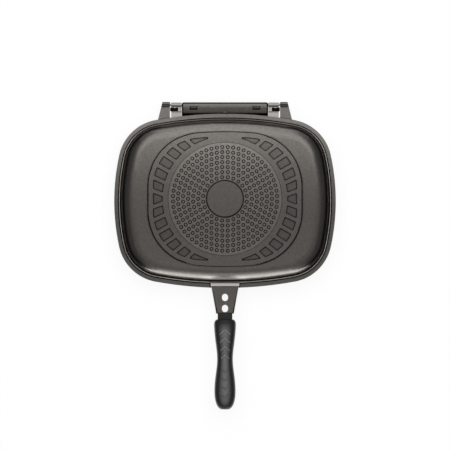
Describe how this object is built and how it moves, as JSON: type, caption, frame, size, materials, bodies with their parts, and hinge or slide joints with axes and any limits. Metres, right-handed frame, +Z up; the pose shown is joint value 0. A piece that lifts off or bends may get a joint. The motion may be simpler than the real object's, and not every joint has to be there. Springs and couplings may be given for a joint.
{
  "type": "double sided flip pan",
  "caption": "Two shallow cast pans that close face to face on a rear hinge, with a perforated induction base on each side and split front handles.",
  "frame": {"origin": "centre of the lower base, on the surface it stands on", "axes": "+Z up, +Y from the handles to the hinge, +X to the right along the hinge rod; closed at rest"},
  "size_m": [0.32, 0.4443, 0.072],
  "materials": {
    "pan_coat": "die-cast aluminium under a warm grey metallic speckled non-stick coat",
    "plate_coat": "perforated steel disc under the same warm grey coat",
    "guard_coat": "pressed steel under the same warm grey coat",
    "leaf_steel": "satin stainless steel",
    "rod_steel": "ground steel rod",
    "screw_steel": "stainless screws and rivets",
    "magnet_steel": "nickel-plated magnet",
    "gasket_silicone": "grey silicone, matte",
    "buffer_rubber": "black rubber, matte",
    "collar_plastic": "black heat-resistant plastic",
    "grip_phenolic": "dark phenolic resin, satin with a fine mould grain"
  },
  "bodies": {
    "lower": {"lower_pan": "pan_coat", "lower_induction_plate": "plate_coat", "hinge_leaf_left": "leaf_steel", "hinge_leaf_right": "leaf_steel", "hinge_buffer_left": "buffer_rubber", "hinge_buffer_right": "buffer_rubber", "leaf_screws": "screw_steel", "hinge_guard": "guard_coat", "guard_rivets": "screw_steel", "lower_collar": "collar_plastic", "lower_grip": "grip_phenolic", "lower_handle_screw": "screw_steel", "lower_magnet": "magnet_steel"},
    "upper": {"upper_pan": "pan_coat", "upper_induction_plate": "plate_coat", "gasket": "gasket_silicone", "hinge_rod": "rod_steel", "upper_collar": "collar_plastic", "upper_grip": "grip_phenolic", "upper_handle_screw": "screw_steel", "upper_magnet": "magnet_steel"}
  },
  "joints": [
    {"name": "lid_hinge", "type": "hinge", "parent": "lower", "child": "upper", "pos_m": [0, 0.1393, 0.036], "axis": [-1, 0, 0], "range_deg": [0, 180]}
  ]
}
